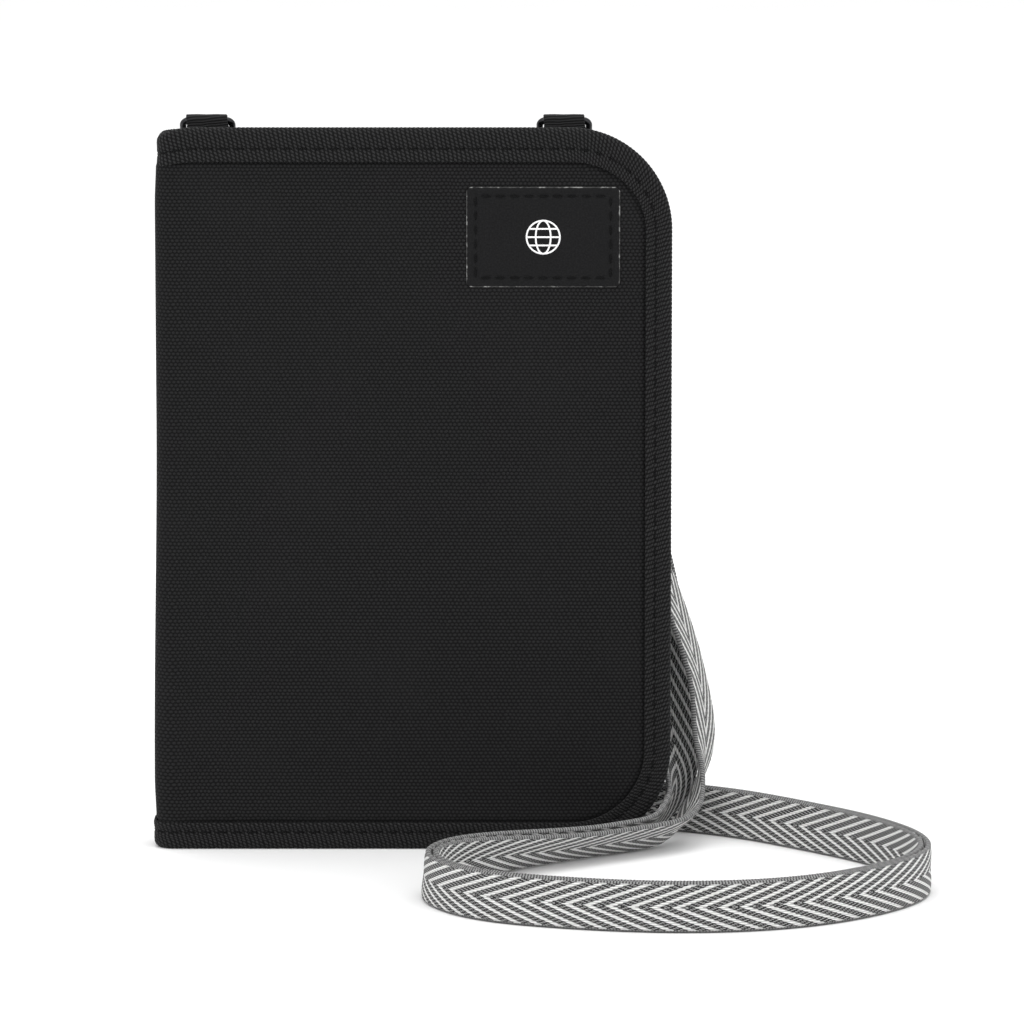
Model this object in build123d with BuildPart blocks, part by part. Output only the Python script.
from build123d import *
import os
from math import cos, dist, radians, sin, tan

os.makedirs("parts", exist_ok=True)

# Bifold neck wallet, closed, standing on its bottom edge. Millimetres, +Z up, front leaf towards -Y,
# spine at -X. Layers of a leaf are named by their distance from the plane midway between the leaves.

# Driving dimensions
WIDTH = 106.0
HEIGHT = 150.0
BACK_DROP = 1.2  # the back leaf is cut this much lower than the front leaf
CORNER_R = 21.0
TAPE_PLY = 0.4  # thickness of the binding tape

# Layer stack of one leaf: distance of each face from the middle plane
TAPE_OUT = 6.0
CANVAS_OUT = TAPE_OUT - TAPE_PLY
BOARD_OUT = 4.9
SHIELD_OUT = 4.4
LINING_OUT = 4.2
LINING_IN = 3.9
TAPE_IN = LINING_IN - TAPE_PLY

# Binding tape: visible band along each edge
TOP_BAND = 7.0
BOTTOM_BAND = 5.6
SIDE_BAND = 5.4
WINDOW_R = CORNER_R - SIDE_BAND

# Spine strip between two crease lines
CREASE_X = -WIDTH / 2 + 1.1
CREASE_OUT = 4.7
LEAF_LEFT = CREASE_X + 1.1
SPINE_HALF = CREASE_OUT - 0.3
SPINE_CANVAS = (-WIDTH / 2 + TAPE_PLY, CREASE_X)
SPINE_LINING = (CREASE_X, CREASE_X + 0.3)
SPINE_TAPE = (-WIDTH / 2, CREASE_X + 0.7)

# Label patch on the front leaf
PATCH_CENTRE = (26.6, 127.6)
PATCH = (31.4, 20.6)
PATCH_CORNER = 1.2

# Hanging tabs and D-rings on the back leaf
TAB_X = {"left": -42.4, "right": 31.0}
TAB_WIDTH = 8.4
TAB_PLY = 0.5
TAB_FOOT = 139.5
TAB_NECK = 146.0
WIRE_R = 0.7
BAR_GAP = 0.1
BAR_OFFSET = 1.9  # bar centre behind the back face
BAR_Z = 150.1
RING_HALF = 5.05
RING_DROP = 8.5
RING_TILT = 35.0
RING_CORNER = 1.3

# Snap hook, measured from the centre of its round eye
EYE_IN = 3.4
EYE_GAP = 0.5  # play between the eye and the bow of the ring
EYE_OUT = 5.0
HOOK_THICK = 3.2
HOOK_NECK = 2.4
PIVOT_R = 4.2
PIVOT_ANGLE = -45.0
LUG_R = 1.4  # lug of the hook round the gate's pin
MOUTH_ANGLE = -26.0  # the hook's mouth runs from here to the gate's sweep
PIN_R = 0.4
PIN_GAP = 0.05
GATE_THICK = 1.2
GATE_ROOT_R = 0.95
GATE_TIP_R = 0.6
GATE_GAP = 0.15  # play between the gate's tip and the hook's nose
TIP_ANGLE = 33.0
POCKET_R = 1.9  # pocket in the hook for the gate's root
POCKET_GAP = 0.2
FRAME_DROP = 5.6
FRAME = (14.6, 6.4, 2.2)
FRAME_CORNER = 1.5
SLOT = (10.8, 2.8)

# Neck strap, a flat webbing
STRAP_WIDTH = 10.0
STRAP_THICK = 1.2
STRAND_GAP = 0.3
TUBE_R = 1.8
STRAP_END_Z = 118.0
LOOP_IN = 1.55  # sewn loop of the strap round the hook's lower bar
LOOP_OUT = 2.4
LOOP_TAPER = 5.0
SEAM = 0.5  # height of the joint where two outlines meet inside a hull

# Zip pocket on the inside of the front leaf
ZIP_Z = 130.0
TEETH_ROW = 1.2
TEETH_GAP = 0.8
TEETH_OUT = 3.3
TEETH_IN = 2.4
ZIP_LEFT = -42.0
ZIP_RIGHT = 40.0
PANEL_IN = 3.4
TAPE_FACE = 3.1
ZIP_TAPE_WIDTH = 5.9
STOP = (1.5, 2.8)
STOP_IN = 2.2
SLIDER_X = 34.0
SLIDER = (8.0, 5.2)
SLIDER_CORNER = 1.0
LOWER_PLATE = (3.85, 3.45)
UPPER_PLATE = (2.3, 1.85)
POST = (3.0, 0.5)
POST_AHEAD = 1.6
BRIDGE = (4.0, 1.2)
BRIDGE_IN = 1.15
BRIDGE_EYE = 1.6
BRIDGE_ROOF = 1.4
PULL = (13.5, 4.6)
PULL_CORNER = 1.5
PULL_FACES = (1.8, 1.45)
PULL_OVERHANG = 0.5
PULL_WINDOW = (4.3, 2.0)
PULL_RIM = 0.9
PULL_HOLE_R = 1.0
PULL_HOLE_INSET = 2.6

# Pockets of the lining: card pockets at the front, one passport pocket at the back
CARD_PLY = 0.4
CARD_SPAN = (-48.0, 46.4)
CARD_FOOT = 6.8
CARD_CORNER = 14.6
CARD_MOUTHS = (98.0, 80.0, 62.0)
TRIM_PLY = 0.25
TRIM_BAND = 4.5
POCKET = (-48.5, 46.5, 7.0, 116.0)
POCKET_CORNER = 14.5
POCKET_FACE = 1.3
POCKET_PLY = 0.4
GUSSET = 0.8

# Derived places
ring_reach = BAR_OFFSET + RING_DROP * sin(radians(RING_TILT)) + WIRE_R
MID_Y = -ring_reach / 2
BACK_FACE = MID_Y + TAPE_OUT
BAR_Y = BACK_FACE + BAR_OFFSET
BOW_Y = BAR_Y + RING_DROP * sin(radians(RING_TILT))
BOW_Z = BAR_Z - RING_DROP * cos(radians(RING_TILT))
EYE_Z = BOW_Z - (EYE_IN - WIRE_R - EYE_GAP)
BACK_HEIGHT = HEIGHT - BACK_DROP


def upright(y):
    """Upright plane at depth y: local x along X, local y along Z, extruding towards -Y."""
    return Plane.XZ.offset(-y)


def draw_leaf(left, right, bottom, top, low_r=0, high_r=0, mode=Mode.ADD):
    """Outline with square corners at the spine and round corners at the free edge."""
    with BuildLine() as outline:
        edge = FilletPolyline(
            (left, bottom), (right, bottom), (right, top), (left, top), radius=[low_r, high_r]
        )
        Line(edge @ 1, edge @ 0)
    make_face(outline.edges(), mode=mode)


def plate(node, side, outer, inner, outline):
    """One flat layer between two distances from the middle plane; side is -1 at the front, 1 behind."""
    near, far = sorted((MID_Y + side * outer, MID_Y + side * inner))
    with BuildPart() as layer:
        with BuildSketch(upright(far)):
            draw_leaf(*outline)
        extrude(amount=far - near)
    layer.part.label = node
    export_step(layer.part, f"parts/{node}.step")


def binding(node, side, height):
    """Tape folded round the bottom, free and top edges of a leaf, with a groove for its layers."""
    near, far = sorted((MID_Y + side * TAPE_OUT, MID_Y + side * TAPE_IN))
    groove_near, groove_far = sorted((MID_Y + side * CANVAS_OUT, MID_Y + side * LINING_IN))
    past_left = LEAF_LEFT - 1
    with BuildPart() as tape:
        with BuildSketch(upright(far)):
            draw_leaf(LEAF_LEFT, WIDTH / 2, 0, height, CORNER_R, CORNER_R)
            draw_leaf(
                past_left, WIDTH / 2 - SIDE_BAND, BOTTOM_BAND, height - TOP_BAND,
                WINDOW_R, WINDOW_R, mode=Mode.SUBTRACT,
            )
        extrude(amount=far - near)
        with BuildSketch(upright(groove_far)):
            draw_leaf(past_left, *groove_outline(height)[1:])
        extrude(amount=groove_far - groove_near, mode=Mode.SUBTRACT)
    tape.part.label = node
    export_step(tape.part, f"parts/{node}.step")


def groove_outline(height, inset=0.0):
    """Outline of the layers that lie inside the binding, drawn in by an inset at every edge."""
    edge = TAPE_PLY + inset
    radius = CORNER_R - edge
    return (LEAF_LEFT + inset, WIDTH / 2 - edge, edge, height - edge, radius, radius)


# Both leaves: canvas outside, stiffening board, foil shield, lining inside, bound at the edges
for leaf, side, height in (("front", -1, HEIGHT), ("back", 1, BACK_HEIGHT)):
    full = groove_outline(height)
    board = groove_outline(height, 2.5)
    plate(f"{leaf}_canvas", side, CANVAS_OUT, BOARD_OUT, full)
    plate(f"{leaf}_board", side, BOARD_OUT, SHIELD_OUT, board)
    plate(f"{leaf}_shield", side, SHIELD_OUT, LINING_OUT, board)
    plate(f"{leaf}_lining", side, LINING_OUT, LINING_IN, full)
    binding(f"{leaf}_binding", side, height)

# Spine strip: canvas outside, lining inside, bound at its two ends
for node, (left, right) in (("spine_canvas", SPINE_CANVAS), ("spine_lining", SPINE_LINING)):
    with BuildPart() as strip:
        with BuildSketch(Plane.XY.offset(TAPE_PLY)):
            with Locations(((left + right) / 2, MID_Y)):
                Rectangle(right - left, 2 * SPINE_HALF)
        extrude(amount=BACK_HEIGHT - 2 * TAPE_PLY)
    strip.part.label = node
    export_step(strip.part, f"parts/{node}.step")

for node, bottom, top in (
    ("spine_binding_top", BACK_HEIGHT - TOP_BAND, BACK_HEIGHT),
    ("spine_binding_bottom", 0, BOTTOM_BAND),
):
    with BuildPart() as spine_tape:
        with BuildSketch(Plane.XY.offset(bottom)):
            with Locations((sum(SPINE_TAPE) / 2, MID_Y)):
                Rectangle(SPINE_TAPE[1] - SPINE_TAPE[0], 2 * SPINE_HALF)
        extrude(amount=top - bottom)
        with BuildSketch(Plane.XY.offset(TAPE_PLY)):
            with Locations(((SPINE_CANVAS[0] + SPINE_LINING[1]) / 2, MID_Y)):
                Rectangle(SPINE_LINING[1] - SPINE_CANVAS[0], 2 * SPINE_HALF)
        extrude(amount=BACK_HEIGHT - 2 * TAPE_PLY, mode=Mode.SUBTRACT)
    spine_tape.part.label = node
    export_step(spine_tape.part, f"parts/{node}.step")

# Blank label patch sewn on the front canvas
with BuildPart() as patch:
    with BuildSketch(upright(MID_Y - CANVAS_OUT)):
        with Locations(PATCH_CENTRE):
            RectangleRounded(*PATCH, PATCH_CORNER)
    extrude(amount=TAPE_PLY)
patch.part.label = "label_patch"
export_step(patch.part, "parts/label_patch.step")

# Zip pocket: two panels, two tapes, two rows of teeth
teeth_low = ZIP_Z - TEETH_GAP / 2 - TEETH_ROW
teeth_high = ZIP_Z + TEETH_GAP / 2 + TEETH_ROW
plate("zip_pocket_panel", -1, LINING_IN, PANEL_IN, (-48.5, 46.9, 6.2, ZIP_Z - 4, 14.8, 0))
plate("zip_pocket_header", -1, LINING_IN, PANEL_IN, (-48.5, 42.5, ZIP_Z + 4, 142.4, 0, 8.0))
plate("zip_tape_lower", -1, PANEL_IN, TAPE_FACE, (-47, 43, teeth_low - ZIP_TAPE_WIDTH, teeth_low))
plate("zip_tape_upper", -1, PANEL_IN, TAPE_FACE, (-47, 42, teeth_high, teeth_high + ZIP_TAPE_WIDTH))
plate("zip_teeth_lower", -1, TEETH_OUT, TEETH_IN, (ZIP_LEFT, ZIP_RIGHT, teeth_low, teeth_low + TEETH_ROW))
plate("zip_teeth_upper", -1, TEETH_OUT, TEETH_IN, (ZIP_LEFT, ZIP_RIGHT, teeth_high - TEETH_ROW, teeth_high))

with BuildPart() as stops:
    with BuildSketch(upright(MID_Y - STOP_IN)):
        with Locations((ZIP_LEFT - STOP[0] / 2, ZIP_Z), (ZIP_RIGHT + STOP[0] / 2, ZIP_Z)):
            Rectangle(*STOP)
    extrude(amount=PANEL_IN - STOP_IN)
stops.part.label = "zip_stops"
export_step(stops.part, "parts/zip_stops.step")

# Zip slider: two plates joined by a post that runs between the rows of teeth, and a bridge for the pull
with BuildPart() as slider:
    for outer, inner in (LOWER_PLATE, UPPER_PLATE):
        with BuildSketch(upright(MID_Y - inner)):
            with Locations((SLIDER_X, ZIP_Z)):
                RectangleRounded(*SLIDER, SLIDER_CORNER)
        extrude(amount=outer - inner)
    with BuildSketch(upright(MID_Y - UPPER_PLATE[1])):
        with Locations((SLIDER_X + POST_AHEAD, ZIP_Z)):
            Rectangle(*POST)
    extrude(amount=LOWER_PLATE[0] - UPPER_PLATE[1])
    with BuildSketch(upright(MID_Y - BRIDGE_IN)):
        with Locations((SLIDER_X, ZIP_Z)):
            Rectangle(*BRIDGE)
    extrude(amount=UPPER_PLATE[1] - BRIDGE_IN)
    with BuildSketch(upright(MID_Y - BRIDGE_ROOF)):
        with Locations((SLIDER_X, ZIP_Z)):
            Rectangle(BRIDGE_EYE, BRIDGE[1])
    extrude(amount=UPPER_PLATE[1] - BRIDGE_ROOF, mode=Mode.SUBTRACT)
slider.part.label = "zip_slider"
export_step(slider.part, "parts/zip_slider.step")

# Zip pull: a flat tag with a window for the bridge and a hole near its end
pull_root = SLIDER_X + PULL_OVERHANG
with BuildPart() as pull:
    with BuildSketch(upright(MID_Y - PULL_FACES[1])):
        with Locations((pull_root - PULL[0] / 2, ZIP_Z)):
            RectangleRounded(*PULL, PULL_CORNER)
        with Locations((pull_root - PULL_RIM - PULL_WINDOW[0] / 2, ZIP_Z)):
            Rectangle(*PULL_WINDOW, mode=Mode.SUBTRACT)
        with Locations((pull_root - PULL[0] + PULL_HOLE_INSET, ZIP_Z)):
            Circle(PULL_HOLE_R, mode=Mode.SUBTRACT)
    extrude(amount=PULL_FACES[0] - PULL_FACES[1])
pull.part.label = "zip_pull"
export_step(pull.part, "parts/zip_pull.step")

# Three stepped card pockets over the zip pocket, each with a taped mouth
for number, mouth in enumerate(CARD_MOUTHS, start=1):
    face = PANEL_IN - CARD_PLY * number
    plate(f"card_pocket_{number}", -1, face + CARD_PLY, face, (*CARD_SPAN, CARD_FOOT, mouth, CARD_CORNER))
    plate(f"card_trim_{number}", -1, face, face - TRIM_PLY, (*CARD_SPAN, mouth - TRIM_BAND, mouth))

# Passport pocket on the inside of the back leaf: a front panel on a gusset round three sides
gusset_front = MID_Y - POCKET_FACE + POCKET_PLY
gusset_back = MID_Y + LINING_IN
left, right, foot, mouth = POCKET
with BuildPart() as pocket:
    with BuildSketch(upright(gusset_back)):
        draw_leaf(*POCKET, POCKET_CORNER)
        draw_leaf(
            left + GUSSET, right - GUSSET, foot + GUSSET, mouth + GUSSET,
            POCKET_CORNER - GUSSET, mode=Mode.SUBTRACT,
        )
    extrude(amount=gusset_back - gusset_front)
    with BuildSketch(upright(gusset_front)):
        draw_leaf(*POCKET, POCKET_CORNER)
    extrude(amount=POCKET_PLY)
pocket.part.label = "passport_pocket"
export_step(pocket.part, "parts/passport_pocket.step")
plate("passport_trim", -1, POCKET_FACE + TRIM_PLY, POCKET_FACE, (left, right, mouth - TRIM_BAND, mouth))


def polar(radius, angle):
    """Point of the hook's upright plane, as (y, z), at an angle from +Y about the eye's centre."""
    return (BOW_Y + radius * cos(radians(angle)), EYE_Z + radius * sin(radians(angle)))


# Tabs, D-rings, snap hooks with gates and pins, and the sewn ends of the strap
for name, x_mid in TAB_X.items():
    with BuildPart() as tab:
        with BuildSketch(Plane.YZ.offset(x_mid - TAB_WIDTH / 2)):
            with Locations((BAR_Y, BAR_Z)):
                Circle(WIRE_R + BAR_GAP + TAB_PLY)
            with Locations((BACK_FACE + TAB_PLY, TAB_NECK)):
                Rectangle(2 * TAB_PLY, SEAM)
            make_hull()
            with Locations((BACK_FACE + TAB_PLY, (TAB_NECK + TAB_FOOT) / 2)):
                Rectangle(2 * TAB_PLY, TAB_NECK - TAB_FOOT)
            with Locations((BAR_Y, BAR_Z)):
                Circle(WIRE_R + BAR_GAP, mode=Mode.SUBTRACT)
        extrude(amount=TAB_WIDTH)
    tab.part.label = f"tab_{name}"
    export_step(tab.part, f"parts/tab_{name}.step")

    tilt = radians(RING_TILT)
    ring_plane = Plane(origin=(x_mid, BAR_Y, BAR_Z), x_dir=(1, 0, 0), z_dir=(0, -cos(tilt), -sin(tilt)))
    bow_start = RING_HALF - RING_DROP
    with BuildPart() as ring:
        with BuildLine(ring_plane) as wire:
            bar = FilletPolyline(
                (-RING_HALF, bow_start), (-RING_HALF, 0), (RING_HALF, 0), (RING_HALF, bow_start),
                radius=RING_CORNER,
            )
            ThreePointArc((RING_HALF, bow_start), (0, -RING_DROP), (-RING_HALF, bow_start))
        with BuildSketch(Plane(origin=bar @ 0, z_dir=bar % 0)):
            Circle(WIRE_R)
        sweep()
    ring.part.label = f"d_ring_{name}"
    export_step(ring.part, f"parts/d_ring_{name}.step")

    pivot = polar(PIVOT_R, PIVOT_ANGLE)
    tip = polar(PIVOT_R, TIP_ANGLE)
    gate_reach = dist(pivot, tip) + GATE_TIP_R + GATE_GAP
    frame_z = EYE_Z - FRAME_DROP - FRAME[1] / 2
    with BuildPart() as hook:
        with BuildSketch(Plane.YZ.offset(x_mid)):
            with Locations((BOW_Y, EYE_Z)):
                Circle(EYE_OUT)
            with Locations(pivot):
                Circle(LUG_R)
            with Locations((BOW_Y, EYE_Z - EYE_OUT)):
                Rectangle(FRAME[2], HOOK_NECK)
            with Locations((BOW_Y, EYE_Z)):
                Circle(EYE_IN, mode=Mode.SUBTRACT)
            with BuildLine():
                nose = CenterArc(pivot, gate_reach, 50, 75)
                Polyline(nose @ 1, (BOW_Y, EYE_Z), polar(2 * EYE_OUT, MOUTH_ANGLE), nose @ 0)
            make_face(mode=Mode.SUBTRACT)
        extrude(amount=HOOK_THICK / 2, both=True)
        with BuildSketch(Plane.YZ.offset(x_mid)):
            with Locations(pivot):
                Circle(POCKET_R)
        extrude(amount=GATE_THICK / 2 + POCKET_GAP, both=True, mode=Mode.SUBTRACT)
        with BuildSketch(Plane.YZ.offset(x_mid)):
            with Locations(pivot):
                Circle(PIN_R)
        extrude(amount=HOOK_THICK / 2, both=True, mode=Mode.SUBTRACT)
        with BuildSketch(upright(BOW_Y + FRAME[2] / 2)):
            with Locations((x_mid, frame_z)):
                RectangleRounded(FRAME[0], FRAME[1], FRAME_CORNER)
                Rectangle(*SLOT, mode=Mode.SUBTRACT)
        extrude(amount=FRAME[2])
    hook.part.label = f"hook_{name}"
    export_step(hook.part, f"parts/hook_{name}.step")

    with BuildPart() as gate:
        with BuildSketch(Plane.YZ.offset(x_mid)):
            with Locations(pivot):
                Circle(GATE_ROOT_R)
            with Locations(tip):
                Circle(GATE_TIP_R)
            make_hull()
            with Locations(pivot):
                Circle(PIN_R + PIN_GAP, mode=Mode.SUBTRACT)
        extrude(amount=GATE_THICK / 2, both=True)
    gate.part.label = f"gate_{name}"
    export_step(gate.part, f"parts/gate_{name}.step")

    with BuildPart() as pin:
        with BuildSketch(Plane.YZ.offset(x_mid)):
            with Locations(pivot):
                Circle(PIN_R)
        extrude(amount=HOOK_THICK / 2, both=True)
    pin.part.label = f"gate_pin_{name}"
    export_step(pin.part, f"parts/gate_pin_{name}.step")

    strap_bar_z = frame_z - SLOT[1] / 2 - (FRAME[1] - SLOT[1]) / 4
    loop_foot = strap_bar_z - LOOP_TAPER
    with BuildPart() as strap_end:
        with BuildSketch(Plane.YZ.offset(x_mid - STRAP_WIDTH / 2)):
            with Locations((BOW_Y, strap_bar_z)):
                Circle(LOOP_OUT)
            with Locations((BOW_Y, loop_foot)):
                Rectangle(2 * STRAP_THICK, SEAM)
            make_hull()
            with Locations((BOW_Y, (loop_foot + STRAP_END_Z) / 2)):
                Rectangle(2 * STRAP_THICK, loop_foot - STRAP_END_Z)
            with Locations((BOW_Y, strap_bar_z)):
                Circle(LOOP_IN, mode=Mode.SUBTRACT)
        extrude(amount=STRAP_WIDTH)
    strap_end.part.label = f"strap_end_{name}"
    export_step(strap_end.part, f"parts/strap_end_{name}.step")

# Routes of the strap. Each strand hangs from its sewn end behind the wallet and comes round the
# free edge to the floor, where both run side by side, standing on edge.
HANG_LEFT = [
    (TAB_X["left"], BOW_Y, STRAP_END_Z - STRAND_GAP),
    (TAB_X["left"], BOW_Y, 104.0),
    (-28.5, 13.2, 92.0),
    (-6.5, 14.4, 82.0),
    (18.0, 14.6, 75.5),
    (38.0, 14.4, 69.0),
    (49.5, 14.2, 57.0),
    (55.0, 14.0, 43.0),
    (59.0, 12.3, 30.0),
    (62.5, 5.5, 18.5),
    (61.5, -4.5, 12.0),
    (53.6, -11.4, 8.8),
    (45.3, -16.3, 7.5),
]
HANG_RIGHT = [
    (TAB_X["right"], BOW_Y, STRAP_END_Z - STRAND_GAP),
    (TAB_X["right"], BOW_Y, 104.0),
    (38.5, 10.0, 87.0),
    (46.5, 10.2, 69.0),
    (51.5, 10.1, 51.0),
    (54.8, 9.0, 35.0),
    (57.0, 3.0, 21.0),
    (55.0, -5.5, 8.0),
    (50.8, -12.2, 3.0),
    (45.3, -16.3, 2.5),
]
FLOOR_ROUTE = [
    (45.3, -16.3),
    (19.0, -35.5),
    (4.5, -47.5),
    (1.0, -62.5),
    (12.0, -79.0),
    (33.0, -87.5),
    (55.0, -91.0),
    (76.0, -87.0),
    (94.0, -75.0),
    (106.0, -58.5),
    (105.5, -41.5),
    (95.5, -24.5),
    (80.0, -11.0),
    (64.0, 1.5),
    (46.0, 11.0),
    (20.0, 15.0),
    (-8.0, 16.0),
    (-34.0, 14.0),
]


def bend_radii(points):
    """Radius at each inner point: 0.45 of its shorter run over the tangent of half its turn."""
    corners = [Vector(*point) for point in points]
    radii = []
    for before, corner, after in zip(corners, corners[1:], corners[2:]):
        run_in = corner - before
        run_out = after - corner
        half_turn = radians(run_in.get_angle(run_out)) / 2
        radii.append(0.45 * min(run_in.length, run_out.length) / tan(half_turn))
    return radii


for node, route in (("strap_hang_left", HANG_LEFT), ("strap_hang_right", HANG_RIGHT)):
    radii = bend_radii(route)
    with BuildPart() as hang:
        with BuildLine() as strand:
            path = FilletPolyline(*route, radius=radii)
        with BuildSketch(Plane(origin=path @ 0, z_dir=path % 0)):
            Circle(TUBE_R)
        sweep()
    print(node, "length", round(path.length, 1), "radii", [round(radius, 1) for radius in radii])
    hang.part.label = node
    export_step(hang.part, f"parts/{node}.step")

floor_radii = bend_radii(FLOOR_ROUTE)
with BuildLine() as floor_line:
    floor_path = FilletPolyline(*FLOOR_ROUTE, radius=floor_radii)
print("floor length", round(floor_path.length, 1), "radii", [round(radius, 1) for radius in floor_radii])

# Two strands of webbing standing on edge, one on each side of the floor route
for node, flank in (("strap_floor_left", Side.LEFT), ("strap_floor_right", Side.RIGHT)):
    with BuildPart() as ribbon:
        with BuildSketch():
            near_edge = floor_path.offset_2d(STRAND_GAP / 2, side=flank, closed=False)
            far_edge = floor_path.offset_2d(STRAND_GAP / 2 + STRAP_THICK, side=flank, closed=False)
            with BuildLine():
                add(near_edge)
                add(far_edge)
                Line(near_edge @ 0, far_edge @ 0)
                Line(near_edge @ 1, far_edge @ 1)
            make_face()
        extrude(amount=STRAP_WIDTH)
    ribbon.part.label = node
    export_step(ribbon.part, f"parts/{node}.step")

# The fold where the two strands are one strap, at the far end of the floor route
fold_plane = Plane(origin=floor_path @ 1, x_dir=floor_path % 1, z_dir=(0, 0, 1))
with BuildPart() as fold:
    with BuildSketch(fold_plane):
        Circle(STRAND_GAP / 2 + STRAP_THICK)
        Circle(STRAND_GAP / 2, mode=Mode.SUBTRACT)
        with Locations((-2 * STRAP_THICK, 0)):
            Rectangle(4 * STRAP_THICK, 4 * STRAP_THICK, mode=Mode.SUBTRACT)
    extrude(amount=STRAP_WIDTH)
fold.part.label = "strap_fold"
export_step(fold.part, "parts/strap_fold.step")
